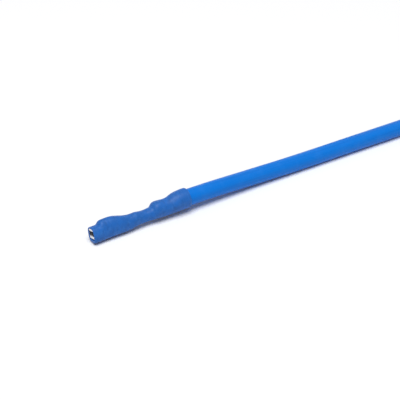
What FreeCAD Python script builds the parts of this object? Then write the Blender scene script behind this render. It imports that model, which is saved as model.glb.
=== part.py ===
import FreeCAD, Part
import math
import os

import Sketcher

# A wire lead with a female crimp terminal on its end.
# The frame is the terminal's own: the origin is the middle of the receptacle's mouth, +X runs
# back along the terminal to the wire, +Z is up, and the lead lies on a flat surface. The wire
# holds the terminal rolled a little about its own length, so it is drawn upright and then turned.
# All lengths are in millimetres.

V = FreeCAD.Vector
doc = FreeCAD.newDocument("crimp_terminal_lead")
sheet = doc.addObject("Spreadsheet::Sheet", "Sizes")


class Size:
    """A number together with the sheet expression that gives it."""

    def __init__(self, number, text):
        self.number = number
        self.text = text

    def __add__(self, other):
        return Size(self.number + number_of(other), f"({self.text} + {text_of(other)})")

    def __sub__(self, other):
        return Size(self.number - number_of(other), f"({self.text} - {text_of(other)})")

    def __rsub__(self, other):
        return Size(number_of(other) - self.number, f"({text_of(other)} - {self.text})")

    def __mul__(self, other):
        return Size(self.number * number_of(other), f"({self.text} * {text_of(other)})")

    def __truediv__(self, other):
        return Size(self.number / number_of(other), f"({self.text} / {text_of(other)})")

    def __neg__(self):
        return Size(-self.number, f"(-{self.text})")


def number_of(value):
    return value.number if isinstance(value, Size) else float(value)


def text_of(value):
    return value.text if isinstance(value, Size) else repr(float(value))


def size(name, number, meaning):
    """Write one driving dimension in the sheet and hand it back."""
    row = size.rows = getattr(size, "rows", 0) + 1
    sheet.set(f"A{row}", name)
    sheet.set(f"B{row}", str(number))
    sheet.set(f"C{row}", meaning)
    sheet.setAlias(f"B{row}", name)
    return Size(float(number), f"Sizes.{name}")


# The strip that the terminal is stamped from
strip = size("strip", 0.16, "thickness of the sheet metal strip")
bend = size("bend", 0.10, "inside radius of the box's folds")
seam = size("seam", 0.04, "gap left where two edges of the strip meet")

# The box that takes the pin
flap_return = size("flap_return", 0.50, "how far the top flap turns down over the side wall")
box_width = size("box_width", 1.76, "outside width of the box")
box_height = size("box_height", 1.76, "outside height of the box")
box_length = size("box_length", 5.40, "mouth to the box's rear edge")
side_setback = size("side_setback", 0.05, "how far the side walls' front edges stand back")
tongue_slack = size("tongue_slack", 0.04, "gap between a tongue's edge and the side wall")
tongue_fold = size("tongue_fold", 0.075, "inside radius of a tongue's fold at the mouth")
tongue_gap = size("tongue_gap", 0.40, "gap between the tongues where they grip the pin")
grip_from_mouth = size("grip_from_mouth", 2.70, "mouth to the gripping line")
tip_from_mouth = size("tip_from_mouth", 4.30, "mouth to the tongues' tips")
tip_opening = size("tip_opening", 0.80, "gap between the tongues' tips")
bridge_from_mouth = size("bridge_from_mouth", 1.55, "mouth to the front of the raised bridge")
bridge_flat = size("bridge_flat", 2.05, "length of the bridge's flat top")
bridge_margin = size("bridge_margin", 0.20, "bridge's rear foot to the box's rear edge")
bridge_height = size("bridge_height", 0.62, "height of the bridge above the box")
bridge_width = size("bridge_width", 1.20, "width of the bridge")

# The two crimp barrels and what joins them
neck_length = size("neck_length", 2.30, "box to the conductor barrel")
neck_wall = size("neck_wall", 0.75, "height of the neck's side walls at the barrel")
wire_barrel_width = size("wire_barrel_width", 1.40, "outside width of the conductor barrel")
wire_barrel_height = size("wire_barrel_height", 1.46, "crimp height of the conductor barrel")
wire_barrel_length = size("wire_barrel_length", 2.60, "length of the conductor barrel")
wire_barrel_lift = size("wire_barrel_lift", 0.16, "how far the conductor barrel's floor is raised")
wing_curl = size("wing_curl", 0.56, "how far the conductor wings' tips dip below the barrel's top")
bell_length = size("bell_length", 0.25, "length of a bellmouth")
bell_flare = size("bell_flare", 0.10, "how far a bellmouth widens on each side")
link_length = size("link_length", 0.80, "conductor barrel to insulation barrel")
link_wall = size("link_wall", 0.55, "height of the link's side walls")
rear_barrel_width = size("rear_barrel_width", 2.20, "outside width of the insulation barrel")
rear_barrel_height = size("rear_barrel_height", 2.28, "outside height of the insulation barrel")
rear_barrel_length = size("rear_barrel_length", 2.10, "length of the insulation barrel")
tab_length = size("tab_length", 0.30, "cut-off tab left by the carrier strip")
tab_width = size("tab_width", 0.70, "width of the cut-off tab")

# The wire
wire_diameter = size("wire_diameter", 2.80, "outside diameter of the insulated wire")
strands_diameter = size("strands_diameter", 1.20, "diameter of the bundle of strands")
strip_gap = size("strip_gap", 1.40, "cut-off tab to the cut edge of the insulation")
brush_length = size("brush_length", 0.40, "strand ends showing in front of the conductor barrel")
crimp_slip = size("crimp_slip", 0.01, "clearance between strands and barrel")

# The heat-shrink sleeve
sleeve_wall = size("sleeve_wall", 0.21, "wall of the shrunk sleeve")
sleeve_slip = size("sleeve_slip", 0.02, "clearance between the sleeve and what it holds")
sleeve_lip = size("sleeve_lip", 0.12, "how far the sleeve reaches past the mouth")
sleeve_sag = size("sleeve_sag", 0.36, "how far the sleeve stands off under the box at the mouth")
sleeve_droop = size("sleeve_droop", 0.22, "how far it stands off under the box's rear edge")
step_ramp = size("step_ramp", 0.40, "length over which the sleeve climbs on to the bridge")
sleeve_grip = size("sleeve_grip", 2.50, "length of insulated wire held in the sleeve")

# How the lead lies
roll = size("roll", 16.0, "degrees that the terminal is rolled, its top going towards +Y")

# Places along the terminal, from the mouth
box_front = tongue_fold + strip
wire_barrel_front = box_length + neck_length
wire_barrel_rear = wire_barrel_front + wire_barrel_length
rear_barrel_front = wire_barrel_rear + link_length
rear_barrel_rear = rear_barrel_front + rear_barrel_length
tab_rear = rear_barrel_rear + tab_length
insulation_front = tab_rear + strip_gap
sleeve_rear = insulation_front + sleeve_grip

# Levels, from the middle of the mouth
box_top = box_height / 2
box_floor = -box_top
wire_barrel_floor = box_floor + wire_barrel_lift
wire_barrel_top = wire_barrel_floor + wire_barrel_height
rear_barrel_top = box_floor + rear_barrel_height
wire_middle = box_floor + wire_diameter / 2
wire_barrel_middle = wire_barrel_floor + wire_barrel_height / 2
rear_strands_middle = box_floor + strip + crimp_slip + strands_diameter / 2
rear_wing_curl = rear_barrel_top - rear_strands_middle - strands_diameter / 2 - crimp_slip

# The tongues fill the box's inside width
tongue_width = box_width - strip * 2 - tongue_slack * 2

# Corners of the folded strip
fold_radius = bend + strip
wire_barrel_corner = wire_barrel_width * 0.3
wire_lobe = (wire_barrel_width / 2 - seam / 2) * 0.46
rear_tip_bend = strip * 1.2
rear_wing_flat = strip * 0.2
rear_barrel_corner = rear_barrel_width / 2 - seam / 2 - rear_tip_bend - rear_wing_flat


def new_body(name):
    """A body drawn upright, rolled about the terminal's own length by its placement."""
    body = doc.addObject("PartDesign::Body", name)
    body.Label = name
    body.Placement = FreeCAD.Placement(V(0, 0, 0), FreeCAD.Rotation(V(-1, 0, 0), roll.number))
    body.setExpression("Placement.Rotation.Angle", roll.text)
    return body


def new_sketch(body, role, name, distance=None):
    """A sketch on one of the body's own origin planes, moved along its normal by distance."""
    sketch = body.newObject("Sketcher::SketchObject", name)
    plane = next(item for item in body.Origin.OriginFeatures if item.Role == role)
    sketch.AttachmentSupport = [(plane, "")]
    sketch.MapMode = "FlatFace"
    if distance is not None:
        sketch.setExpression("AttachmentOffset.Base.z", text_of(distance))
    return sketch


def bind(sketch, constraint, value):
    """Add a constraint and tie its datum to the sheet."""
    index = sketch.addConstraint(constraint)
    sketch.setExpression(f"Constraints[{index}]", text_of(value))


def hold(sketch, piece, spot, corner):
    """Fix one point of a sketch at the corner's two coordinates."""
    across, up = corner[0], corner[1]
    bind(sketch, Sketcher.Constraint("DistanceX", -1, 1, piece, spot, number_of(across)), across)
    bind(sketch, Sketcher.Constraint("DistanceY", -1, 1, piece, spot, number_of(up)), up)


def unit(vector):
    return V(vector).normalize()


def draw_outline(sketch, corners):
    """Draw a closed outline. A corner is (across, up), or (across, up, radius) if it is rounded."""
    count = len(corners)
    spots = [V(number_of(corner[0]), number_of(corner[1]), 0) for corner in corners]
    backs = [unit(spots[index - 1] - spots[index]) for index in range(count)]
    aheads = [unit(spots[(index + 1) % count] - spots[index]) for index in range(count)]
    trims = []
    for corner, back, ahead in zip(corners, backs, aheads):
        half_turn = (math.pi - back.getAngle(ahead)) / 2
        trims.append(number_of(corner[2]) * math.tan(half_turn) if len(corner) == 3 else 0)
    lines = []
    for index in range(count):
        start = spots[index] + aheads[index] * trims[index]
        following = (index + 1) % count
        end = spots[following] + backs[following] * trims[following]
        lines.append(sketch.addGeometry(Part.LineSegment(start, end), False))
    for index, corner in enumerate(corners):
        arriving, leaving = lines[index - 1], lines[index]
        if len(corner) == 2:
            sketch.addConstraint(Sketcher.Constraint("Coincident", arriving, 2, leaving, 1))
            hold(sketch, leaving, 1, corner)
        else:
            round_corner(sketch, corner, spots[index], backs[index], aheads[index], trims[index],
                         arriving, leaving)


def round_corner(sketch, corner, spot, back, ahead, trim, arriving, leaving):
    """Join two lines of an outline by a tangent arc whose sharp corner stays in place."""
    radius = number_of(corner[2])
    centre = spot + unit(back + ahead) * math.hypot(trim, radius)
    first = spot + back * trim - centre
    second = spot + ahead * trim - centre
    turns_left = ahead.cross(back).z > 0
    low, high = (first, second) if turns_left else (second, first)
    low_angle = math.atan2(low.y, low.x)
    high_angle = math.atan2(high.y, high.x)
    circle = Part.Circle(centre, V(0, 0, 1), radius)
    arc = sketch.addGeometry(Part.ArcOfCircle(circle, low_angle, high_angle), False)
    first_end, second_end = (1, 2) if turns_left else (2, 1)
    sketch.addConstraint(Sketcher.Constraint("Tangent", arriving, 2, arc, first_end))
    sketch.addConstraint(Sketcher.Constraint("Tangent", arc, second_end, leaving, 1))
    bind(sketch, Sketcher.Constraint("Radius", arc, radius), corner[2])
    point = sketch.addGeometry(Part.Point(spot), True)
    sketch.addConstraint(Sketcher.Constraint("PointOnObject", point, 1, arriving))
    sketch.addConstraint(Sketcher.Constraint("PointOnObject", point, 1, leaving))
    hold(sketch, point, 1, corner)


def pad(body, sketch, length, both_ways=False):
    feature = body.newObject("PartDesign::Pad", f"{sketch.Name}_pad")
    feature.Profile = sketch
    feature.setExpression("Length", text_of(length))
    if both_ways:
        feature.SideType = "Symmetric"
    return feature


def pocket(body, sketch, length):
    feature = body.newObject("PartDesign::Pocket", f"{sketch.Name}_pocket")
    feature.Profile = sketch
    feature.setExpression("Length", text_of(length))
    return feature


def loft(body, kind, sketches, name):
    """A straight-sided loft through the sketches, added or cut away."""
    feature = body.newObject(f"PartDesign::{kind}Loft", name)
    feature.Profile = sketches[0]
    feature.Sections = sketches[1:]
    feature.Ruled = True
    return feature


def mirror(corners):
    """The mirror images of a right-hand half's corners, in reverse."""
    return [(-corner[0],) + tuple(corner[1:]) for corner in reversed(corners)]


def channel_outline(half, floor, top, corner):
    """A U of strip, open at the top."""
    outside = [(half, top), (half, floor, corner)]
    inside = [(half - strip, floor + strip, corner - strip), (half - strip, top)]
    return outside + mirror(outside) + mirror(inside) + inside


def barrel_outline(half, floor, top, corner, lobe, shoulder, curl):
    """A closed crimp: two wings roll over from the shoulders and dip their tips in the middle."""
    edge = seam / 2
    tip = top - curl
    outside = [(edge, tip), (edge, top, lobe), (half, top, shoulder), (half, floor, corner)]
    inside = [
        (half - strip, floor + strip, corner - strip),
        (half - strip, top - strip, shoulder - strip),
        (edge + strip, top - strip, lobe - strip),
        (edge + strip, tip),
    ]
    return outside + mirror(outside) + mirror(inside) + inside


def add_box(body):
    """The strip folded round into a square tube, its top flap turned down to the side wall."""
    half = box_width / 2
    flap_edge = box_top - flap_return
    wall_edge = flap_edge - seam
    sketch = new_sketch(body, "YZ_Plane", "box_section", box_front)
    draw_outline(sketch, [
        (half, flap_edge),
        (half, box_top, fold_radius),
        (-half, box_top, fold_radius),
        (-half, box_floor, fold_radius),
        (half, box_floor, fold_radius),
        (half, wall_edge),
        (half - strip, wall_edge),
        (half - strip, box_floor + strip, bend),
        (strip - half, box_floor + strip, bend),
        (strip - half, box_top - strip, bend),
        (half - strip, box_top - strip, bend),
        (half - strip, flap_edge),
    ])
    pad(body, sketch, box_length - box_front)


def add_side_fronts(body):
    """The side walls run on past the box's folds, one on each side of the folded tongues."""
    half = box_width / 2
    fold_floor = box_floor + fold_radius
    fold_top = box_top - fold_radius
    sketch = new_sketch(body, "YZ_Plane", "side_fronts", side_setback)
    for inner, outer, floor, top in (
        (strip - half, -half, fold_floor, fold_top),
        (half - strip, half, fold_floor, box_top - flap_return - seam),
        (half - strip, half, box_top - flap_return, fold_top),
    ):
        draw_outline(sketch, [(inner, floor), (outer, floor), (outer, top), (inner, top)])
    pad(body, sketch, box_front - side_setback)


def add_bridge(body):
    """A bridge lanced out of the top wall, square at the front and sloping down behind."""
    front = bridge_from_mouth
    flat_end = front + bridge_flat
    rear = box_length - bridge_margin
    crown = box_top + bridge_height
    half = bridge_width / 2
    window = new_sketch(body, "XY_Plane", "bridge_window", box_top)
    draw_outline(window, [
        (front + strip, -half),
        (rear - strip, -half),
        (rear - strip, half),
        (front + strip, half),
    ])
    pocket(body, window, strip)
    side = new_sketch(body, "XZ_Plane", "bridge_side")
    draw_outline(side, [
        (front, box_top - strip),
        (front, crown, fold_radius),
        (flat_end, crown, fold_radius),
        (rear, box_top),
        (rear, box_top - strip),
        (rear - strip, box_top - strip),
        (flat_end - strip / 2, crown - strip, bend),
        (front + strip, crown - strip, bend),
        (front + strip, box_top - strip),
    ])
    pad(body, side, bridge_width, both_ways=True)


def add_tongue(body, name, up):
    """A spring tongue folded back into the box from the mouth. up is 1 on top and -1 below."""
    fold_outside = (tongue_fold + strip) * 0.9
    fold_inside = tongue_fold * 0.9
    fold_level = box_top - (strip + tongue_fold) * 2
    grip_level = tongue_gap / 2
    tip_level = tip_opening / 2
    corners = [
        (box_front + strip, box_top),
        (strip * 0, box_top, fold_outside),
        (strip * 0, fold_level, fold_outside),
        (grip_from_mouth, grip_level, strip * 2),
        (tip_from_mouth, tip_level),
        (tip_from_mouth, tip_level + strip),
        (grip_from_mouth, grip_level + strip, strip),
        (strip, fold_level + strip, fold_inside),
        (strip, box_top - strip, fold_inside),
        (box_front + strip, box_top - strip),
    ]
    sketch = new_sketch(body, "XZ_Plane", name)
    draw_outline(sketch, [(corner[0], corner[1] * up) + tuple(corner[2:]) for corner in corners])
    pad(body, sketch, tongue_width, both_ways=True)


def add_channel(body, name, front, rear):
    """A loft of two open channels. An end is (place, half width, floor, top, corner)."""
    sketches = []
    for part, (place, half, floor, top, corner) in (("front", front), ("rear", rear)):
        sketch = new_sketch(body, "YZ_Plane", f"{name}_{part}", place)
        draw_outline(sketch, channel_outline(half, floor, top, corner))
        sketches.append(sketch)
    loft(body, "Additive", sketches, name)


def add_barrel(body, name, front, length, outline):
    sketch = new_sketch(body, "YZ_Plane", f"{name}_section", front)
    draw_outline(sketch, outline)
    pad(body, sketch, length)


def add_bellmouth(body, name, throat, mouth):
    """The flared end of the conductor barrel, from its throat to its open edge."""
    half = wire_barrel_width / 2
    sketches = []
    for part, place, flare in (("throat", throat, strip * 0), ("mouth", mouth, bell_flare)):
        sketch = new_sketch(body, "YZ_Plane", f"{name}_{part}", place)
        draw_outline(sketch, barrel_outline(
            half + flare, wire_barrel_floor - flare, wire_barrel_top + flare,
            wire_barrel_corner + flare, wire_lobe, wire_lobe, wing_curl + flare))
        sketches.append(sketch)
    loft(body, "Additive", sketches, name)


def make_terminal():
    """The whole contact is one piece of strip: box, neck, two crimp barrels and cut-off tab."""
    body = new_body("contact_terminal")
    add_box(body)
    add_side_fronts(body)
    add_bridge(body)
    add_tongue(body, "upper_tongue", 1)
    add_tongue(body, "lower_tongue", -1)
    box_half = box_width / 2
    wire_half = wire_barrel_width / 2
    rear_half = rear_barrel_width / 2
    throat_front = wire_barrel_front + bell_length
    throat_rear = wire_barrel_rear - bell_length
    add_channel(
        body, "neck",
        (box_length, box_half, box_floor, box_floor + box_height * 0.62, fold_radius),
        (wire_barrel_front, wire_half + bell_flare, wire_barrel_floor - bell_flare,
         wire_barrel_floor + neck_wall, wire_barrel_corner + bell_flare))
    add_bellmouth(body, "front_bellmouth", throat_front, wire_barrel_front)
    add_barrel(body, "conductor_barrel", throat_front, throat_rear - throat_front, barrel_outline(
        wire_half, wire_barrel_floor, wire_barrel_top, wire_barrel_corner, wire_lobe, wire_lobe,
        wing_curl))
    add_bellmouth(body, "rear_bellmouth", throat_rear, wire_barrel_rear)
    add_channel(
        body, "link",
        (wire_barrel_rear, wire_half + bell_flare, wire_barrel_floor - bell_flare,
         wire_barrel_floor + link_wall, wire_barrel_corner + bell_flare),
        (rear_barrel_front, rear_half, box_floor, box_floor + link_wall * 2, rear_barrel_corner))
    add_barrel(body, "insulation_barrel", rear_barrel_front, rear_barrel_length, barrel_outline(
        rear_half, box_floor, rear_barrel_top, rear_barrel_corner, rear_tip_bend,
        rear_barrel_corner, rear_wing_curl))
    tab = new_sketch(body, "YZ_Plane", "cut_off_tab", rear_barrel_rear)
    half = tab_width / 2
    draw_outline(tab, [
        (half, box_floor),
        (half, box_floor + strip),
        (-half, box_floor + strip),
        (-half, box_floor),
    ])
    pad(body, tab, tab_length)
    return body


def crimped_outline(slip):
    """The strands pressed to the heart-shaped room between the conductor wings."""
    half = wire_barrel_width / 2 - strip - slip
    edge = seam / 2 + strip + slip
    floor = wire_barrel_floor + strip + slip
    top = wire_barrel_top - strip - slip
    tip = wire_barrel_top - wing_curl - slip
    corner = wire_barrel_corner - strip - slip
    lobe = wire_lobe - strip - slip
    right = [(edge, tip), (edge, top, lobe), (half, top, lobe), (half, floor, corner)]
    return right + mirror(right)


def circle_sketch(body, name, place, radius, level):
    """A circle across the wire at a place along it and a level above the mouth's middle."""
    sketch = new_sketch(body, "YZ_Plane", name, place)
    centre = V(0, number_of(level), 0)
    ring = sketch.addGeometry(Part.Circle(centre, V(0, 0, 1), number_of(radius)), False)
    bind(sketch, Sketcher.Constraint("Radius", ring, number_of(radius)), radius)
    hold(sketch, ring, 3, (strip * 0, level))
    return sketch


def make_conductor():
    """The bared strands, pressed heart-shaped in the front barrel and round from there back."""
    body = new_body("conductor")
    round_radius = strands_diameter / 2
    squeezed_radius = wire_barrel_width / 2 - strip - crimp_slip
    sketch = new_sketch(body, "YZ_Plane", "crimped_section", wire_barrel_front - brush_length)
    draw_outline(sketch, crimped_outline(crimp_slip))
    pad(body, sketch, brush_length + wire_barrel_length)
    stations = [
        ("loose_a", wire_barrel_rear, squeezed_radius, wire_barrel_middle),
        ("loose_b", rear_barrel_front, round_radius, rear_strands_middle),
        ("loose_c", rear_barrel_rear, round_radius, rear_strands_middle),
        ("loose_d", insulation_front, round_radius, wire_middle),
    ]
    sketches = [circle_sketch(body, *station) for station in stations]
    loft(body, "Additive", sketches, "loose_strands")
    return body


def sleeve_stations():
    """Where the sleeve hugs what is in it: place, half width, lowest, highest and corner.

    Each row starts with the number of sections that lead from the row before it to this one."""
    box_half = box_width / 2
    wire_half = wire_barrel_width / 2
    rear_half = rear_barrel_width / 2
    jacket = wire_diameter / 2
    crown = box_top + bridge_height
    bridge_flat_end = bridge_from_mouth + bridge_flat
    bridge_rear = box_length - bridge_margin
    throat_front = wire_barrel_front + bell_length
    throat_rear = wire_barrel_rear - bell_length
    flare_half = wire_half + bell_flare
    flare_floor = wire_barrel_floor - bell_flare
    flare_top = wire_barrel_top + bell_flare
    jacket_top = box_floor + wire_diameter
    jacket_corner = jacket * 0.97
    sagging = box_floor - sleeve_sag
    drooping = box_floor - sleeve_droop
    return eased([
        (1, -sleeve_lip, box_half, sagging, box_top, fold_radius),
        (1, bridge_from_mouth - step_ramp, box_half, sagging, box_top, fold_radius),
        (3, bridge_from_mouth, box_half, sagging, crown, fold_radius),
        (1, bridge_flat_end, box_half, (sagging + drooping) / 2, crown, fold_radius),
        (2, bridge_rear, box_half, drooping, box_top, fold_radius),
        (1, box_length, box_half, drooping, box_top, fold_radius),
        (3, wire_barrel_front, flare_half, flare_floor, flare_top, wire_lobe),
        (1, throat_front, wire_half, wire_barrel_floor, wire_barrel_top, wire_lobe),
        (1, throat_rear, wire_half, wire_barrel_floor, wire_barrel_top, wire_lobe),
        (1, wire_barrel_rear, flare_half, flare_floor, flare_top, wire_lobe),
        (2, rear_barrel_front, rear_half, box_floor, rear_barrel_top, rear_barrel_corner),
        (1, tab_rear, rear_half, box_floor, rear_barrel_top, rear_barrel_corner),
        (3, insulation_front, jacket, box_floor, jacket_top, jacket_corner),
        (1, sleeve_rear, jacket, box_floor, jacket_top, jacket_corner),
    ])


def eased(rows):
    """Fill in the sections between the rows. The sides run straight, and the top bends gently."""
    stations = [rows[0][1:]]
    for row in rows[1:]:
        steps, before = row[0], stations[-1]
        for step in range(1, steps + 1):
            share = step / steps
            ease = (1 - math.cos(math.pi * share)) / 2
            place, half, low, high, corner = [
                old + (new - old) * part
                for old, new, part in zip(before, row[1:], (share, share, share, ease, share))]
            stations.append((place, half, low, high, corner) if step < steps else row[1:])
    return stations


def sleeve_skin(body, kind, name, growth):
    """One side of the sleeve's wall, growth away from what the sleeve holds."""
    sketches = []
    for index, (place, half, low, high, corner) in enumerate(sleeve_stations()):
        sketch = new_sketch(body, "YZ_Plane", f"{name}_{index}", place)
        side, top, floor = half + growth, high + growth, low - growth
        radius = corner + growth
        draw_outline(sketch, [
            (side, floor, radius), (side, top, radius), (-side, top, radius), (-side, floor, radius),
        ])
        sketches.append(sketch)
    loft(body, kind, sketches, name)


def make_sleeve():
    """A heat-shrink sleeve drawn tight over the terminal and the end of the insulation."""
    body = new_body("heat_shrink_sleeve")
    sleeve_skin(body, "Additive", "outside", sleeve_slip + sleeve_wall)
    sleeve_skin(body, "Subtractive", "inside", sleeve_slip)
    return body


def route_path(points):
    """Straight runs joined by tangent arcs, each as large as its two runs allow."""
    edges = []
    radii = []
    start = points[0]
    for before, corner, after in zip(points, points[1:], points[2:]):
        incoming = before - corner
        outgoing = after - corner
        turn = math.pi - incoming.getAngle(outgoing)
        reach = 0.45 * min(incoming.Length, outgoing.Length)
        radius = reach / math.tan(turn / 2)
        arc_start = corner + unit(incoming) * reach
        arc_end = corner + unit(outgoing) * reach
        bisector = unit(unit(incoming) + unit(outgoing))
        middle = corner + bisector * (math.hypot(reach, radius) - radius)
        edges.append(Part.LineSegment(start, arc_start).toShape())
        edges.append(Part.Arc(arc_start, middle, arc_end).toShape())
        radii.append(radius)
        start = arc_end
    edges.append(Part.LineSegment(start, points[-1]).toShape())
    return Part.Wire(edges), radii


def resting_level():
    """The height of the surface: it touches the sleeve's lower edge, rolled round under the box."""
    angle = math.radians(roll.number)
    skin = sleeve_wall + sleeve_slip
    radius = (fold_radius + skin).number
    across = (box_width / 2 + skin).number - radius
    down = (box_height / 2 + sleeve_sag + skin).number - radius
    return -(down * math.cos(angle) + across * math.sin(angle) + radius)


def make_wire():
    """The insulated wire, from its cut edge in the sleeve to its plainly cut far end."""
    start = insulation_front.number
    radius = wire_diameter.number / 2
    angle = math.radians(roll.number)
    side = wire_middle.number * math.sin(angle)
    level = wire_middle.number * math.cos(angle)
    floor_level = resting_level() + radius
    points = [
        V(start, side, level),
        V(start + 5.6, side, level),
        V(start + 13.6, side + 0.02, level * 0.4 + floor_level * 0.6),
        V(start + 24.4, side - 0.06, floor_level),
        V(start + 41.4, side + 0.2, floor_level),
        V(start + 58.4, side - 0.4, floor_level),
        V(start + 73.4, side - 4.8, floor_level),
        V(start + 83.9, side - 10.4, floor_level),
    ]
    path, radii = route_path(points)
    circle = Part.Wire([Part.Circle(points[0], V(1, 0, 0), radius).toShape()])
    solid = path.makePipeShell([circle], True, False, 2)
    print("resting level", round(resting_level(), 4))
    print("wire points", [tuple(round(item, 3) for item in point) for point in points])
    print("wire radii", [round(item, 1) for item in radii])
    print("wire length", round(path.Length, 2), "volume ratio",
          round(solid.Volume / (path.Length * math.pi * radius ** 2), 4))
    feature = doc.addObject("Part::Feature", "insulated_wire")
    feature.Label = "insulated_wire"
    feature.Shape = solid
    feature.Placement = FreeCAD.Placement()
    return feature


pieces = [make_terminal(), make_conductor(), make_sleeve(), make_wire()]
doc.recompute()

for item in doc.Objects:
    if "Invalid" in item.State or "Error" in item.State:
        raise RuntimeError(f"{item.Label} did not build: {item.State}")
for piece in pieces:
    if piece.Shape.isNull() or not piece.Shape.isValid():
        raise RuntimeError(f"{piece.Label} has no sound shape")

os.makedirs("parts", exist_ok=True)
for piece in pieces:
    piece.Shape.exportStep(f"parts/{piece.Label}.step")
    print(piece.Label, "solids", len(piece.Shape.Solids), "volume", round(piece.Shape.Volume, 3))
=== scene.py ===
"""Looks for a wire lead with a female crimp terminal under a shrunk sleeve.

Everything is in metres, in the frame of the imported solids: the origin is the middle of the
terminal's mouth, +X runs back along the terminal to the wire and +Z is up.
"""

import math

import bmesh
import bpy
from bpy.props import FloatProperty, FloatVectorProperty, PointerProperty
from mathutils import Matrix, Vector


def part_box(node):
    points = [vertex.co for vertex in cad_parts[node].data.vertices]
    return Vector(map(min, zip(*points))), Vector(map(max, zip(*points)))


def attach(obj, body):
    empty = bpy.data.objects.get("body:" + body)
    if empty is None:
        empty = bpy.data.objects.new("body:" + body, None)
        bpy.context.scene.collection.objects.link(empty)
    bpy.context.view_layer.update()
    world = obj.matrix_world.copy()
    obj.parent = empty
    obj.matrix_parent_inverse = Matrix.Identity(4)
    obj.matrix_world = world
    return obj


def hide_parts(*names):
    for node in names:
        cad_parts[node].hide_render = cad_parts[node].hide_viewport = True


bl_info = {
    "name": "Crimp Terminal Lead",
    "version": (1, 0, 0),
    "blender": (4, 5, 0),
    "location": "View3D > Sidebar > Crimp Lead",
    "description": "Builds a wire lead with a female crimp terminal in a shrunk sleeve",
    "category": "Add Mesh",
}

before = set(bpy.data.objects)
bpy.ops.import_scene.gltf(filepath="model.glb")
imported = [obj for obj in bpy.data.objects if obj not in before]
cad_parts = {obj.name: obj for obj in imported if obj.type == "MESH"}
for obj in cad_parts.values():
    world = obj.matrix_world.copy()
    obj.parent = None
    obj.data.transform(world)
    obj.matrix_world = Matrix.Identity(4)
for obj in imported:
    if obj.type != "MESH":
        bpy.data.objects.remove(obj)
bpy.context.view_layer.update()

MM = 0.001

# Each of the sleeve's rings has this many points, drawn a little large because the smoothing
# pulls them in
RING_CORNERS = 16
SMOOTHING_SHRINK = 1.026

# The sleeve's sections, upright, in millimetres: place along the terminal, half width, lowest
# and highest, how square the section is (0 round, 1 boxy), and how wide its crown is.
SLEEVE_SECTIONS = (
    (-0.08, 1.08, -1.46, 1.09, 0.95, 0.97),
    (0.35, 1.11, -1.47, 1.11, 0.95, 0.97),
    (1.00, 1.12, -1.47, 1.11, 0.90, 0.94),
    (1.30, 1.12, -1.46, 1.20, 0.88, 0.87),
    (1.55, 1.12, -1.45, 1.66, 0.85, 0.82),
    (1.85, 1.12, -1.44, 1.75, 0.85, 0.80),
    (2.60, 1.12, -1.42, 1.77, 0.85, 0.80),
    (3.60, 1.12, -1.38, 1.78, 0.85, 0.80),
    (4.20, 1.11, -1.36, 1.66, 0.85, 0.83),
    (4.80, 1.10, -1.36, 1.48, 0.88, 0.88),
    (5.40, 1.09, -1.36, 1.28, 0.90, 0.92),
    (6.00, 1.06, -1.34, 1.15, 0.85, 0.94),
    (6.80, 1.04, -1.25, 1.01, 0.70, 0.95),
    (7.50, 1.03, -1.17, 1.05, 0.60, 0.96),
    (7.85, 1.01, -1.13, 1.12, 0.55, 0.96),
    (8.20, 0.97, -1.08, 1.05, 0.45, 0.96),
    (9.00, 0.94, -1.04, 0.95, 0.36, 0.95),
    (9.80, 0.95, -1.03, 0.95, 0.32, 0.95),
    (10.25, 1.02, -1.05, 1.04, 0.34, 0.98),
    (10.70, 1.09, -1.04, 0.99, 0.30, 0.95),
    (11.05, 1.26, -1.05, 1.45, 0.30, 1.00),
    (11.40, 1.33, -1.07, 1.71, 0.30, 1.00),
    (12.00, 1.34, -1.11, 1.77, 0.30, 1.00),
    (12.90, 1.34, -1.14, 1.63, 0.25, 1.00),
    (13.50, 1.36, -1.12, 1.61, 0.20, 1.00),
    (14.10, 1.46, -1.11, 1.70, 0.10, 1.00),
    (14.70, 1.58, -1.11, 1.98, 0.05, 1.00),
    (15.40, 1.66, -1.12, 2.16, 0.00, 1.00),
    (16.40, 1.67, -1.12, 2.25, 0.00, 1.00),
    (17.15, 1.67, -1.12, 2.26, 0.00, 1.00),
    (17.40, 1.66, -1.11, 2.24, 0.00, 1.00),
)

# Dents and ridges pressed into the soft sleeve: where, how far it moves and how wide it is
SLEEVE_DENTS = (
    ((9.0, 0.0, 0.95), (0.0, 0.0, -0.07), 0.55),
    ((6.3, -0.9, 0.75), (0.0, 0.07, -0.05), 0.70),
    ((6.3, 0.9, 0.75), (0.0, -0.07, -0.05), 0.70),
    ((4.6, 0.0, 1.40), (0.0, 0.0, -0.05), 0.50),
    ((10.7, -1.0, 0.30), (0.0, 0.06, 0.0), 0.60),
    ((12.1, 0.0, 1.56), (0.0, 0.0, -0.05), 0.60),
    ((16.4, -1.2, 1.7), (0.0, -0.03, 0.03), 0.80),
)

# The sleeve's wall keeps its thickness up to here from the mouth, and from here to its rear edge
FULL_WALL = (0.9, 16.9)

# The inner wall under the box at the mouth, where the slack is shrunk shut: how far in and to
# each side it reaches, its lowest and highest, the level that it closes on and what stays open
SLACK_REACH, SLACK_SIDE, SLACK_LOW, SLACK_HIGH = 0.8, 0.81, -1.30, -1.02
SLACK_LEVEL, SLACK_LEFT = -0.93, 0.15

# The wire's route, in millimetres: the imported solid's points, nudged across the floor
WIRE_ROUTE = (
    (14.9, 0.143, 0.500),
    (20.5, 0.180, 0.510),
    (28.5, 0.330, 0.090),
    (39.3, 0.230, -0.203),
    (56.3, 0.060, -0.203),
    (73.3, -0.257, -0.203),
    (88.3, -4.657, -0.203),
    (98.8, -10.257, -0.203),
)

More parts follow.
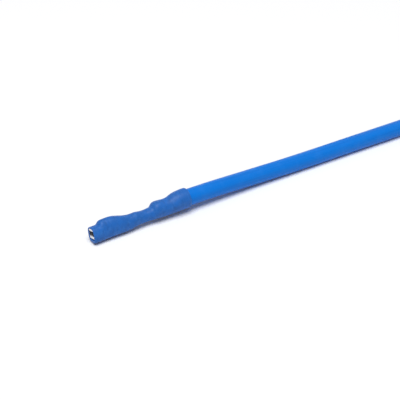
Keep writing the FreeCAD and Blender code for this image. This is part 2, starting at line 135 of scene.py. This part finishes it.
# The strands at the cut end: how many lie in each ring, how far out in strands, and its turn
STRAND_RINGS = ((6, 1.0, 0.0), (12, 1.93, math.pi / 12))
STRAND_SPACING = 1.04
STRAND_STUB = 1.2
STRAND_PROUD = 0.07

LAMP_PLACE = (-0.14, -0.21, 1.08)
LAMP_AIM = (0.02, 0, 0)
CAMERA_PLACE = (-57.24, -120.45, 93.09)
CAMERA_DOWN = math.radians(33.26)
CAMERA_AROUND = math.radians(-32.62)


class SleeveSettings(bpy.types.PropertyGroup):
    """Sizes and colours of the shrunk sleeve."""

    wall: FloatProperty(
        name="Wall", description="Thickness of the shrunk sleeve", default=0.21 * MM,
        unit="LENGTH", subtype="DISTANCE")
    drawn_thin: FloatProperty(
        name="Drawn Thin", description="Share of the wall that is left over the metal",
        default=0.45, min=0.1, max=1, subtype="FACTOR")
    roll: FloatProperty(
        name="Roll", description="How far the terminal is rolled about its own length",
        default=math.radians(16), unit="ROTATION", subtype="ANGLE")
    unevenness: FloatProperty(
        name="Unevenness", description="How far the shrunk surface wanders", default=0.035 * MM,
        unit="LENGTH", subtype="DISTANCE")
    colour: FloatVectorProperty(
        name="Colour", description="The sleeve's blue", size=3, min=0, max=1,
        default=(0.008, 0.121, 0.462), subtype="COLOR")
    rubbed: FloatVectorProperty(
        name="Rubbed Colour", description="The blue where the sleeve is rubbed dull", size=3,
        min=0, max=1, default=(0.036, 0.173, 0.525), subtype="COLOR")


class WireSettings(bpy.types.PropertyGroup):
    """Sizes and colours of the insulated wire."""

    diameter: FloatProperty(
        name="Diameter", description="Outside diameter of the insulation", default=2.8 * MM,
        unit="LENGTH", subtype="DISTANCE")
    length: FloatProperty(
        name="Length", description="Length of the wire from its end in the sleeve",
        default=86.0 * MM, unit="LENGTH", subtype="DISTANCE")
    strand: FloatProperty(
        name="Strand", description="Diameter of one strand of the conductor",
        default=0.22 * MM, unit="LENGTH", subtype="DISTANCE")
    colour: FloatVectorProperty(
        name="Colour", description="The insulation's blue", size=3, min=0, max=1,
        default=(0.001, 0.168, 0.640), subtype="COLOR")
    tint: FloatVectorProperty(
        name="Tint", description="The slightly darker blue between its flow lines", size=3,
        min=0, max=1, default=(0.001, 0.140, 0.560), subtype="COLOR")


class MetalSettings(bpy.types.PropertyGroup):
    """Colours of the bare metal."""

    tin: FloatVectorProperty(
        name="Tin", description="Bright tin plating", size=3, min=0, max=1,
        default=(0.72, 0.74, 0.77), subtype="COLOR")
    # Also used as painted shade in the grooves between the strands
    dull_tin_and_groove_shade: FloatVectorProperty(
        name="Dull Tin", description="Tin plating where it is handled and stained", size=3,
        min=0, max=1, default=(0.50, 0.50, 0.49), subtype="COLOR")
    copper: FloatVectorProperty(
        name="Copper", description="Copper that shows where the tin is thin", size=3,
        min=0, max=1, default=(0.72, 0.43, 0.28), subtype="COLOR")


class StageSettings(bpy.types.PropertyGroup):
    """The floor, the lamps and the camera."""

    floor_colour: FloatVectorProperty(
        name="Floor Colour", description="Colour of the floor", size=3, min=0, max=1,
        default=(0.925, 0.925, 0.93), subtype="COLOR")
    sky: FloatProperty(
        name="Sky", description="Strength of the even light", default=0.27, min=0)
    lamp: FloatProperty(
        name="Lamp", description="Power of the large soft lamp", default=12.5, min=0,
        unit="POWER")
    lamp_size: FloatProperty(
        name="Lamp Size", description="Diameter of the soft lamp", default=0.9, min=0.01,
        unit="LENGTH", subtype="DISTANCE")
    lens: FloatProperty(
        name="Lens", description="Focal length in millimetres", default=94.5, min=1)


def metres(point):
    return Vector(point) * MM


def deselect_all():
    if bpy.context.object and bpy.context.object.mode == "EDIT":
        bpy.ops.object.mode_set(mode="OBJECT")
    bpy.ops.object.select_all(action="DESELECT")


def choose_vertices(piece, wanted):
    """In edit mode, select just the vertices for which wanted(place) is true."""
    shape = bmesh.from_edit_mesh(piece.data)
    for item in (*shape.faces, *shape.edges, *shape.verts):
        item.select_set(False)
    for vertex in shape.verts:
        if wanted(vertex.co):
            vertex.select_set(True)
    shape.select_flush(True)
    bmesh.update_edit_mesh(piece.data)


def finish_modifier(piece, kind, name, **settings):
    """Add a modifier with these settings and apply it."""
    modifier = piece.modifiers.new(name, kind)
    for key, value in settings.items():
        setattr(modifier, key, value)
    bpy.context.view_layer.objects.active = piece
    bpy.ops.object.modifier_apply(modifier=name)


def finish_piece(piece, name, material):
    """Name a new piece, bring its place into its mesh and give it its one material."""
    piece.name = name
    piece.data.name = name
    bpy.ops.object.select_all(action="DESELECT")
    piece.select_set(True)
    bpy.context.view_layer.objects.active = piece
    bpy.ops.object.transform_apply(location=True, rotation=True, scale=True)
    piece.data.materials.clear()
    piece.data.materials.append(material)


def section_factors(squareness):
    """How far out the ring's corner points and their neighbours lie for this squareness."""
    return 1 + 0.19 * squareness, 1 + 0.07 * squareness


def shape_ring(piece, section, before):
    """Give the selected ring its section's width, height, squareness and crown."""
    place, half, low, high, squareness, crown = section
    _, old_half, old_low, old_high, old_squareness, old_crown = before
    centre = metres((place, 0, (low + high) / 2))
    bpy.ops.transform.resize(
        value=(1, half / old_half, (high - low) / (old_high - old_low)), center_override=centre)
    corner, near_corner = section_factors(squareness)
    old_corner, old_near_corner = section_factors(old_squareness)
    half_height = (high - low) / 2 * MM

    def in_ring(point):
        return abs(point.x - centre.x) < 0.01 * MM

    def step_of(point):
        angle = math.atan2((point.z - centre.z) / half_height, point.y / (half * MM))
        return round(angle / (2 * math.pi) * RING_CORNERS) % RING_CORNERS

    changes = (
        ({2, 6, 10, 14}, corner / old_corner),
        ({1, 3, 5, 7, 9, 11, 13, 15}, near_corner / old_near_corner),
    )
    for steps, factor in changes:
        if abs(factor - 1) > 1e-4:
            choose_vertices(
                piece, lambda point: in_ring(point) and step_of(point) in steps)
            bpy.ops.transform.resize(value=(1, factor, factor), center_override=centre)
    if abs(crown - old_crown) > 1e-4:
        upper = {2, 3, 4, 5, 6}
        choose_vertices(piece, lambda point: in_ring(point) and step_of(point) in upper)
        bpy.ops.transform.resize(value=(1, crown / old_crown, 1), center_override=centre)
    choose_vertices(piece, in_ring)


def press_in(piece, where, move, width):
    """Push or pull the soft surface around one point."""
    spot = metres(where)
    nearest = min(piece.data.vertices, key=lambda vertex: (vertex.co - spot).length)
    target = nearest.co.copy()
    choose_vertices(piece, lambda point: (point - target).length < 1e-7)
    bpy.ops.transform.translate(
        value=metres(move), use_proportional_edit=True, proportional_edit_falloff="SMOOTH",
        proportional_size=width * MM)


def at_open_end(point):
    """True near the sleeve's two open ends, where its wall isn't drawn thin."""
    return point.x < FULL_WALL[0] * MM or point.x > FULL_WALL[1] * MM


def in_mouth_slack(point):
    """True on the inner wall under the box at the mouth, where the slack is shrunk shut."""
    return (point.x < SLACK_REACH * MM and abs(point.y) < SLACK_SIDE * MM
            and SLACK_LOW * MM < point.z < SLACK_HIGH * MM)


def model_sleeve(settings):
    """One tube, drawn out ring by ring over what it holds, then given its wall and its dents."""
    deselect_all()
    first = SLEEVE_SECTIONS[0]
    bpy.ops.mesh.primitive_circle_add(
        vertices=RING_CORNERS, radius=MM * SMOOTHING_SHRINK, fill_type="NOTHING",
        location=metres((first[0], 0, (first[2] + first[3]) / 2)),
        rotation=(0, math.pi / 2, 0))
    piece = bpy.context.object
    bpy.ops.object.transform_apply(location=True, rotation=True, scale=True)
    bpy.ops.object.mode_set(mode="EDIT")
    bpy.ops.mesh.select_mode(type="VERT")
    bpy.ops.mesh.select_all(action="SELECT")
    round_ring = (first[0], 1.0, -1.0, 1.0, 0.0, 1.0)
    shape_ring(piece, first, round_ring)
    for before, section in zip(SLEEVE_SECTIONS, SLEEVE_SECTIONS[1:]):
        rise = (section[2] + section[3] - before[2] - before[3]) / 2
        bpy.ops.mesh.extrude_region_move(
            TRANSFORM_OT_translate={"value": metres((section[0] - before[0], 0, rise))})
        shape_ring(piece, section, before)
    bpy.ops.mesh.select_all(action="SELECT")
    bpy.ops.mesh.normals_make_consistent(inside=False)
    bpy.ops.object.mode_set(mode="OBJECT")
    finish_modifier(piece, "SUBSURF", "first_smoothing", levels=1, render_levels=1)
    for dent in SLEEVE_DENTS:
        bpy.ops.object.mode_set(mode="EDIT")
        press_in(piece, *dent)
        bpy.ops.object.mode_set(mode="OBJECT")
    ends = piece.vertex_groups.new(name="open_ends")
    ends.add([vertex.index for vertex in piece.data.vertices if at_open_end(vertex.co)],
             1.0, "REPLACE")
    finish_modifier(
        piece, "SOLIDIFY", "wall", thickness=settings.wall, offset=-1, use_even_offset=True,
        edge_crease_rim=0.55, vertex_group="open_ends",
        thickness_vertex_group=settings.drawn_thin)
    piece.vertex_groups.clear()
    bpy.ops.object.mode_set(mode="EDIT")
    choose_vertices(piece, in_mouth_slack)
    bpy.ops.transform.resize(
        value=(1, 1, SLACK_LEFT), center_override=metres((0, 0, SLACK_LEVEL)))
    bpy.ops.object.mode_set(mode="OBJECT")
    finish_modifier(piece, "SUBSURF", "smoothing", levels=2, render_levels=2)
    wander = bpy.data.textures.new("sleeve_wander", "CLOUDS")
    wander.noise_scale = 1.1 * MM
    wander.noise_depth = 2
    finish_modifier(
        piece, "DISPLACE", "wander", texture=wander, texture_coords="LOCAL", mid_level=0.5,
        strength=settings.unevenness)
    piece.rotation_euler = (-settings.roll, 0, 0)
    return piece


def model_wire(settings):
    """The wire's smooth line, with the insulation's round section."""
    deselect_all()
    line = bpy.data.curves.new("insulated_lead", "CURVE")
    line.dimensions = "3D"
    line.resolution_u = 24
    line.bevel_depth = settings.diameter / 2
    line.bevel_resolution = 10
    line.use_fill_caps = True
    spline = line.splines.new("NURBS")
    spline.points.add(len(WIRE_ROUTE) - 1)
    for point, place in zip(spline.points, WIRE_ROUTE):
        point.co = (*metres(place), 1)
    spline.order_u = 3
    spline.use_endpoint_u = True
    wire = bpy.data.objects.new("insulated_lead", line)
    bpy.context.collection.objects.link(wire)
    return wire


def ring_spots(pitch):
    """Middles of the strands that lie in rings around the middle one."""
    for count, out, start in STRAND_RINGS:
        for index in range(count):
            angle = start + index * 2 * math.pi / count
            yield pitch * out * math.cos(angle), pitch * out * math.sin(angle)


def model_strand_ends(settings):
    """The strands' cut ends, just proud of the insulation at the far end."""
    deselect_all()
    end, before = metres(WIRE_ROUTE[-1]), metres(WIRE_ROUTE[-2])
    heading = (end - before).normalized()
    length = STRAND_STUB * MM
    bpy.ops.mesh.primitive_cylinder_add(vertices=12, radius=settings.strand / 2, depth=length)
    strand = bpy.context.object
    bpy.ops.object.mode_set(mode="EDIT")
    bpy.ops.mesh.select_all(action="SELECT")
    bpy.ops.mesh.bevel(offset=0.02 * MM, segments=2, affect="EDGES")
    bpy.ops.object.mode_set(mode="OBJECT")
    strands = [strand]
    for across, up in ring_spots(settings.strand * STRAND_SPACING):
        copy = strand.copy()
        copy.data = strand.data.copy()
        bpy.context.collection.objects.link(copy)
        uneven = 0.02 * MM * math.sin(40 * across / MM + 23 * up / MM)
        copy.location = (across, up, uneven)
        strands.append(copy)
    for item in strands:
        item.select_set(True)
    bpy.context.view_layer.objects.active = strand
    bpy.ops.object.join()
    strand.rotation_mode = "QUATERNION"
    strand.rotation_quaternion = heading.to_track_quat("Z", "Y")
    strand.location = end + heading * (STRAND_PROUD * MM - length / 2)
    return strand


def add_node(tree, kind, inputs=None, **settings):
    """Add a node, set its options and its unlinked inputs."""
    node = tree.nodes.new(kind)
    for key, value in settings.items():
        setattr(node, key, value)
    for key, value in (inputs or {}).items():
        node.inputs[key].default_value = value
    return node


def new_group(name, inputs, outputs):
    """A shader node group with these sockets; an input is (name, type, default)."""
    tree = bpy.data.node_groups.new(name, "ShaderNodeTree")
    for socket_name, kind, default in inputs:
        socket = tree.interface.new_socket(socket_name, in_out="INPUT", socket_type=kind)
        if default is not None:
            socket.default_value = default
    for socket_name, kind in outputs:
        tree.interface.new_socket(socket_name, in_out="OUTPUT", socket_type=kind)
    return tree, tree.nodes.new("NodeGroupInput"), tree.nodes.new("NodeGroupOutput")


def make_grain_group():
    """Fine moulded grain and a broad mottle, both from 0 to 1."""
    tree, source, result = new_group(
        "surface_grain",
        [("Vector", "NodeSocketVector", None), ("Scale", "NodeSocketFloat", 9000.0),
         ("Mottle Scale", "NodeSocketFloat", 700.0)],
        [("Grain", "NodeSocketFloat"), ("Mottle", "NodeSocketFloat")])
    grain = add_node(tree, "ShaderNodeTexNoise", {"Detail": 3.0, "Roughness": 0.6})
    mottle = add_node(tree, "ShaderNodeTexNoise", {"Detail": 2.0, "Roughness": 0.5})
    spread = add_node(tree, "ShaderNodeMapRange", {"From Min": 0.35, "From Max": 0.65})
    links = tree.links
    links.new(source.outputs["Vector"], grain.inputs["Vector"])
    links.new(source.outputs["Scale"], grain.inputs["Scale"])
    links.new(source.outputs["Vector"], mottle.inputs["Vector"])
    links.new(source.outputs["Mottle Scale"], mottle.inputs["Scale"])
    links.new(mottle.outputs["Fac"], spread.inputs["Value"])
    links.new(grain.outputs["Fac"], result.inputs["Grain"])
    links.new(spread.outputs["Result"], result.inputs["Mottle"])
    return tree


def make_wrinkle_group():
    """Wrinkles drawn out in one direction: a height, and a mask of where they are deepest."""
    tree, source, result = new_group(
        "drawn_wrinkles",
        [("Vector", "NodeSocketVector", None), ("Scale", "NodeSocketFloat", 1000.0),
         ("Stretch", "NodeSocketVector", (1.0, 1.0, 1.0))],
        [("Height", "NodeSocketFloat"), ("Deep", "NodeSocketFloat")])
    stretched = add_node(tree, "ShaderNodeVectorMath", operation="MULTIPLY")
    wrinkles = add_node(
        tree, "ShaderNodeTexNoise", {"Detail": 2.0, "Roughness": 0.45, "Distortion": 0.4})
    deep = add_node(
        tree, "ShaderNodeMapRange",
        {"From Min": 0.46, "From Max": 0.34, "To Min": 0.0, "To Max": 1.0})
    links = tree.links
    links.new(source.outputs["Vector"], stretched.inputs[0])
    links.new(source.outputs["Stretch"], stretched.inputs[1])
    links.new(stretched.outputs["Vector"], wrinkles.inputs["Vector"])
    links.new(source.outputs["Scale"], wrinkles.inputs["Scale"])
    links.new(wrinkles.outputs["Fac"], deep.inputs["Value"])
    links.new(wrinkles.outputs["Fac"], result.inputs["Height"])
    links.new(deep.outputs["Result"], result.inputs["Deep"])
    return tree


def make_rub_group():
    """Patches that handling has rubbed: a mask from 0 to the given amount."""
    tree, source, result = new_group(
        "handling_rub",
        [("Vector", "NodeSocketVector", None), ("Scale", "NodeSocketFloat", 900.0),
         ("Amount", "NodeSocketFloat", 0.5)],
        [("Mask", "NodeSocketFloat")])
    patches = add_node(tree, "ShaderNodeTexNoise", {"Detail": 4.0, "Roughness": 0.7})
    cut = add_node(tree, "ShaderNodeMapRange", {"From Min": 0.50, "From Max": 0.72})
    amount = add_node(tree, "ShaderNodeMath", operation="MULTIPLY")
    links = tree.links
    links.new(source.outputs["Vector"], patches.inputs["Vector"])
    links.new(source.outputs["Scale"], patches.inputs["Scale"])
    links.new(patches.outputs["Fac"], cut.inputs["Value"])
    links.new(cut.outputs["Result"], amount.inputs[0])
    links.new(source.outputs["Amount"], amount.inputs[1])
    links.new(amount.outputs["Value"], result.inputs["Mask"])
    return tree


def shared_group(name, maker):
    return bpy.data.node_groups.get(name) or maker()


def place_group(tree, name, maker, coordinates, **inputs):
    """Put a shared group in a material's tree, with its own values."""
    node = tree.nodes.new("ShaderNodeGroup")
    node.node_tree = shared_group(name, maker)
    tree.links.new(coordinates, node.inputs["Vector"])
    for key, value in inputs.items():
        node.inputs[key.replace("_", " ").title()].default_value = value
    return node


def mix_colours(tree, factor, first, second):
    """A colour mix; first and second are colours or sockets."""
    mix = add_node(tree, "ShaderNodeMix", data_type="RGBA")
    tree.links.new(factor, mix.inputs["Factor"])
    for label, value in (("A", first), ("B", second)):
        socket = next(s for s in mix.inputs if s.name == label and s.type == "RGBA")
        if isinstance(value, bpy.types.NodeSocket):
            tree.links.new(value, socket)
        else:
            socket.default_value = (*value, 1)
    return next(s for s in mix.outputs if s.type == "RGBA")


def map_to(tree, value, low, high):
    """A value from 0 to 1 spread over low to high."""
    spread = add_node(tree, "ShaderNodeMapRange", {"To Min": low, "To Max": high})
    tree.links.new(value, spread.inputs["Value"])
    return spread.outputs["Result"]


def add_bump(tree, height, distance, strength=1.0, below=None):
    """A bump of this real depth in metres, on top of the bump below it if there is one."""
    bump = add_node(
        tree, "ShaderNodeBump", {"Distance": distance, "Strength": strength})
    tree.links.new(height, bump.inputs["Height"])
    if below is not None:
        tree.links.new(below, bump.inputs["Normal"])
    return bump.outputs["Normal"]


def new_material(name, coordinates="Object"):
    """A material, its tree, its Principled shader and the coordinates it is laid out on."""
    material = bpy.data.materials.new(name)
    material.use_nodes = True
    tree = material.node_tree
    shader = tree.nodes["Principled BSDF"]
    place = tree.nodes.new("ShaderNodeTexCoord")
    return material, tree, shader, place.outputs[coordinates]


def sleeve_material(settings):
    """Satin shrunk plastic: soft mottle, fine skin, drawn wrinkles with painted shade in their
    creases and dull rubbed patches.
    """
    material, tree, shader, place = new_material("shrunk_sleeve")
    grain = place_group(tree, "surface_grain", make_grain_group, place,
                        scale=14000.0, mottle_scale=650.0)
    around = place_group(tree, "drawn_wrinkles", make_wrinkle_group, place,
                         scale=1500.0, stretch=(1.6, 0.55, 0.55))
    along = place_group(tree, "drawn_wrinkles", make_wrinkle_group, place,
                        scale=2600.0, stretch=(0.25, 1.0, 1.0))
    rub = place_group(tree, "handling_rub", make_rub_group, place, scale=1100.0, amount=0.55)
    dark = [channel * 0.86 for channel in settings.colour]
    mottled = mix_colours(tree, grain.outputs["Mottle"], dark, settings.colour)
    # Painted shade: the blue darkens to 0.6 of itself in the deepest parts of the wrinkles
    crease_shaded = mix_colours(
        tree, map_to(tree, around.outputs["Deep"], 0.0, 0.35), mottled,
        [channel * 0.6 for channel in settings.colour])
    rubbed = mix_colours(tree, rub.outputs["Mask"], crease_shaded, settings.rubbed)
    tree.links.new(rubbed, shader.inputs["Base Color"])
    roughness = map_to(tree, grain.outputs["Mottle"], 0.46, 0.56)
    tree.links.new(roughness, shader.inputs["Roughness"])
    skin = add_bump(tree, grain.outputs["Grain"], 0.006 * MM)
    drawn = add_bump(tree, along.outputs["Height"], 0.02 * MM, below=skin)
    wrinkled = add_bump(tree, around.outputs["Height"], 0.05 * MM, below=drawn)
    tree.links.new(wrinkled, shader.inputs["Normal"])
    shader.inputs["Specular IOR Level"].default_value = 0.3
    shader.inputs["Sheen Weight"].default_value = 0.2
    shader.inputs["Sheen Roughness"].default_value = 0.3
    return material


def wrap_around(tree, unwrapped):
    """Roll the wire's UV map up into a tube, so that a pattern on it has no seam."""
    parts = add_node(tree, "ShaderNodeSeparateXYZ")
    angle = add_node(tree, "ShaderNodeMath", {1: 2 * math.pi}, operation="MULTIPLY")
    tube = add_node(tree, "ShaderNodeCombineXYZ")
    tree.links.new(unwrapped, parts.inputs["Vector"])
    tree.links.new(parts.outputs["Y"], angle.inputs[0])
    tree.links.new(parts.outputs["X"], tube.inputs["X"])
    for axis, operation in (("Y", "COSINE"), ("Z", "SINE")):
        side = add_node(tree, "ShaderNodeMath", operation=operation)
        tree.links.new(angle.outputs["Value"], side.inputs[0])
        tree.links.new(side.outputs["Value"], tube.inputs[axis])
    return tube.outputs["Vector"]


def insulation_material(settings):
    """Smooth extruded insulation with faint flow lines along the wire."""
    material, tree, shader, unwrapped = new_material("wire_insulation", "UV")
    lines = place_group(tree, "drawn_wrinkles", make_wrinkle_group,
                        wrap_around(tree, unwrapped), scale=1.0, stretch=(3.0, 4.5, 4.5))
    around = tree.nodes.new("ShaderNodeTexCoord").outputs["Object"]
    grain = place_group(tree, "surface_grain", make_grain_group, around,
                        scale=7000.0, mottle_scale=260.0)
    rub = place_group(tree, "handling_rub", make_rub_group, around, scale=420.0, amount=0.15)
    flowing = mix_colours(tree, map_to(tree, lines.outputs["Deep"], 0.0, 0.6), settings.colour,
                          settings.tint)
    rubbed = mix_colours(tree, rub.outputs["Mask"], flowing, (0.05, 0.24, 0.70))
    tree.links.new(rubbed, shader.inputs["Base Color"])
    roughness = map_to(tree, grain.outputs["Mottle"], 0.34, 0.44)
    tree.links.new(roughness, shader.inputs["Roughness"])
    skin = add_bump(tree, grain.outputs["Grain"], 0.003 * MM)
    tree.links.new(add_bump(tree, lines.outputs["Height"], 0.022 * MM, below=skin),
                   shader.inputs["Normal"])
    shader.inputs["Specular IOR Level"].default_value = 0.15
    shader.inputs["Sheen Weight"].default_value = 0.35
    shader.inputs["Sheen Roughness"].default_value = 0.25
    return material


def tin_material(settings):
    """Bright tinned strip with rolling marks along it and dull stains."""
    material, tree, shader, place = new_material("tinned_strip_plating")
    rolling = place_group(tree, "drawn_wrinkles", make_wrinkle_group, place,
                          scale=9000.0, stretch=(0.06, 1.0, 1.0))
    grain = place_group(tree, "surface_grain", make_grain_group, place,
                        scale=20000.0, mottle_scale=1800.0)
    rub = place_group(tree, "handling_rub", make_rub_group, place, scale=1600.0, amount=0.6)
    plated = mix_colours(tree, map_to(tree, rolling.outputs["Deep"], 0.0, 0.5), settings.tin,
                         settings.dull_tin_and_groove_shade)
    worn = mix_colours(tree, map_to(tree, rub.outputs["Mask"], 0.0, 0.45), plated,
                       settings.copper)
    tree.links.new(worn, shader.inputs["Base Color"])
    roughness = map_to(tree, grain.outputs["Mottle"], 0.20, 0.34)
    tree.links.new(roughness, shader.inputs["Roughness"])
    pitted = add_bump(tree, grain.outputs["Grain"], 0.002 * MM)
    tree.links.new(add_bump(tree, rolling.outputs["Height"], 0.006 * MM, below=pitted),
                   shader.inputs["Normal"])
    shader.inputs["Metallic"].default_value = 1.0
    return material


def strand_material(settings):
    """A bundle of fine tinned strands, laid side by side with a slow twist, with painted shade
    in the grooves between them.
    """
    material, tree, shader, place = new_material("tinned_strands")
    parts = add_node(tree, "ShaderNodeSeparateXYZ")
    tree.links.new(place, parts.inputs["Vector"])
    twist = add_node(tree, "ShaderNodeMath", {1: 260.0}, operation="MULTIPLY")
    tree.links.new(parts.outputs["X"], twist.inputs[0])
    angle = add_node(tree, "ShaderNodeMath", operation="ARCTAN2")
    tree.links.new(parts.outputs["Z"], angle.inputs[0])
    tree.links.new(parts.outputs["Y"], angle.inputs[1])
    laid = add_node(tree, "ShaderNodeMath", operation="ADD")
    tree.links.new(twist.outputs["Value"], laid.inputs[0])
    tree.links.new(angle.outputs["Value"], laid.inputs[1])
    counted = add_node(tree, "ShaderNodeMath", {1: 12.0}, operation="MULTIPLY")
    tree.links.new(laid.outputs["Value"], counted.inputs[0])
    ridges = add_node(tree, "ShaderNodeMath", operation="SINE")
    tree.links.new(counted.outputs["Value"], ridges.inputs[0])
    height = add_node(tree, "ShaderNodeMapRange", {"From Min": -1.0})
    tree.links.new(ridges.outputs["Value"], height.inputs["Value"])
    grain = place_group(tree, "surface_grain", make_grain_group, place,
                        scale=16000.0, mottle_scale=1500.0)
    rub = place_group(tree, "handling_rub", make_rub_group, place, scale=1400.0, amount=0.8)
    # Painted shade: the grooves between the strands take the darker tin, the crests the bright
    # tin
    groove_shaded_colour = mix_colours(tree, height.outputs["Result"], settings.dull_tin_and_groove_shade, settings.tin)
    worn = mix_colours(tree, rub.outputs["Mask"], groove_shaded_colour, settings.copper)
    tree.links.new(worn, shader.inputs["Base Color"])
    roughness = map_to(tree, grain.outputs["Mottle"], 0.26, 0.42)
    tree.links.new(roughness, shader.inputs["Roughness"])
    laid_bump = add_bump(tree, height.outputs["Result"], 0.05 * MM)
    tree.links.new(laid_bump, shader.inputs["Normal"])
    shader.inputs["Metallic"].default_value = 1.0
    return material


def floor_material(settings):
    """A plain pale floor, dull enough to show no reflections."""
    material = bpy.data.materials.new("studio_floor")
    material.use_nodes = True
    tree = material.node_tree
    shader = tree.nodes["Principled BSDF"]
    shader.inputs["Base Color"].default_value = (*settings.floor_colour, 1)
    shader.inputs["Roughness"].default_value = 0.9
    shader.inputs["Specular IOR Level"].default_value = 0.0
    return material


def even_light(settings):
    """A world that lights evenly, and is white to the camera and in reflections."""
    world = bpy.data.worlds.new("even_light")
    world.use_nodes = True
    tree = world.node_tree
    tree.nodes["Background"].inputs["Color"].default_value = (1, 1, 1, 1)
    rays = tree.nodes.new("ShaderNodeLightPath")
    seen = add_node(tree, "ShaderNodeMath", operation="MAXIMUM")
    tree.links.new(rays.outputs["Is Camera Ray"], seen.inputs[0])
    tree.links.new(rays.outputs["Is Glossy Ray"], seen.inputs[1])
    seen_through = add_node(tree, "ShaderNodeMath", operation="MAXIMUM")
    tree.links.new(seen.outputs["Value"], seen_through.inputs[0])
    tree.links.new(rays.outputs["Is Transmission Ray"], seen_through.inputs[1])
    strength = map_to(tree, seen_through.outputs["Value"], settings.sky, 1.0)
    tree.links.new(strength, tree.nodes["Background"].inputs["Strength"])
    return world


def dress_node(name, material):
    """Give a solid that stays its finished material."""
    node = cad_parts[name]
    node.data.materials.clear()
    node.data.materials.append(material)


class CRIMPLEAD_OT_wire(bpy.types.Operator):
    """Lay the insulated wire along its route, with the strands' ends at its cut"""

    bl_idname = "crimp_lead.wire"
    bl_label = "Insulated Wire"

    def execute(self, context):
        settings = context.scene.crimp_lead_wire
        wire = model_wire(settings)
        wire.data.materials.append(insulation_material(settings))
        ends = model_strand_ends(settings)
        strands = bpy.data.materials.get("tinned_strands")
        strands = strands or strand_material(context.scene.crimp_lead_metal)
        finish_piece(ends, "strand_ends", strands)
        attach(wire, "root")
        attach(ends, "root")
        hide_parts("insulated_wire")
        return {"FINISHED"}


class CRIMPLEAD_OT_sleeve(bpy.types.Operator):
    """Model the sleeve that is shrunk over the terminal and the end of the wire"""

    bl_idname = "crimp_lead.sleeve"
    bl_label = "Shrunk Sleeve"

    def execute(self, context):
        settings = context.scene.crimp_lead_sleeve
        sleeve = model_sleeve(settings)
        finish_piece(sleeve, "shrunk_sleeve", sleeve_material(settings))
        bpy.ops.object.shade_smooth_by_angle(angle=math.radians(50))
        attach(sleeve, "root")
        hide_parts("heat_shrink_sleeve")
        return {"FINISHED"}


class CRIMPLEAD_OT_metal(bpy.types.Operator):
    """Finish the folded terminal in bright tin, and the bundle of strands that it grips"""

    bl_idname = "crimp_lead.metal"
    bl_label = "Tinned Metal"

    def execute(self, context):
        settings = context.scene.crimp_lead_metal
        dress_node("contact_terminal", tin_material(settings))
        strands = bpy.data.materials.get("tinned_strands") or strand_material(settings)
        dress_node("conductor", strands)
        return {"FINISHED"}


class CRIMPLEAD_OT_stage(bpy.types.Operator):
    """Set the pale floor, the soft lamp, the even light and the camera"""

    bl_idname = "crimp_lead.stage"
    bl_label = "Studio Stage"

    def execute(self, context):
        settings = context.scene.crimp_lead_stage
        deselect_all()
        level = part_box("insulated_wire")[0].z
        bpy.ops.mesh.primitive_plane_add(size=1.6, location=(0, 0, level - 0.005 * MM))
        floor = bpy.context.object
        finish_piece(floor, "floor", floor_material(settings))

        context.scene.world = even_light(settings)

        bpy.ops.object.light_add(type="AREA", location=LAMP_PLACE)
        lamp = bpy.context.object
        lamp.name = "soft_lamp"
        lamp.data.shape = "DISK"
        lamp.data.size = settings.lamp_size
        lamp.data.energy = settings.lamp
        aim = Vector(LAMP_AIM) - lamp.location
        lamp.rotation_euler = aim.to_track_quat("-Z", "Y").to_euler()

        bpy.ops.object.camera_add(
            location=metres(CAMERA_PLACE),
            rotation=(math.pi / 2 - CAMERA_DOWN, 0, CAMERA_AROUND))
        camera = bpy.context.object
        camera.name = "studio_camera"
        camera.data.sensor_width = 36
        camera.data.lens = settings.lens
        camera.data.clip_start = 0.005
        camera.data.clip_end = 5
        bpy.context.scene.camera = camera
        context.scene.view_settings.view_transform = "Standard"
        return {"FINISHED"}


class CRIMPLEAD_PT_panel(bpy.types.Panel):
    """The lead's pieces and the stage, in the order in which they are built"""

    bl_idname = "CRIMPLEAD_PT_panel"
    bl_label = "Crimp Lead"
    bl_space_type = "VIEW_3D"
    bl_region_type = "UI"
    bl_category = "Crimp Lead"

    def draw(self, context):
        layout = self.layout
        for operator, group in PANEL_ROWS:
            box = layout.box()
            box.operator(operator)
            settings = getattr(context.scene, group)
            for name in settings.__annotations__:
                box.prop(settings, name)


PANEL_ROWS = (
    ("crimp_lead.stage", "crimp_lead_stage"),
    ("crimp_lead.wire", "crimp_lead_wire"),
    ("crimp_lead.sleeve", "crimp_lead_sleeve"),
    ("crimp_lead.metal", "crimp_lead_metal"),
)

SETTINGS = {
    "crimp_lead_sleeve": SleeveSettings,
    "crimp_lead_wire": WireSettings,
    "crimp_lead_metal": MetalSettings,
    "crimp_lead_stage": StageSettings,
}

OPERATORS = (CRIMPLEAD_OT_stage, CRIMPLEAD_OT_wire, CRIMPLEAD_OT_sleeve, CRIMPLEAD_OT_metal)


def register():
    for item in (*SETTINGS.values(), *OPERATORS, CRIMPLEAD_PT_panel):
        bpy.utils.register_class(item)
    for name, group in SETTINGS.items():
        setattr(bpy.types.Scene, name, PointerProperty(type=group))


def unregister():
    for name in SETTINGS:
        delattr(bpy.types.Scene, name)
    for item in reversed((*SETTINGS.values(), *OPERATORS, CRIMPLEAD_PT_panel)):
        bpy.utils.unregister_class(item)


def main():
    register()
    bpy.ops.crimp_lead.stage()
    bpy.ops.crimp_lead.wire()
    bpy.ops.crimp_lead.sleeve()
    bpy.ops.crimp_lead.metal()


if __name__ == "__main__":
    main()
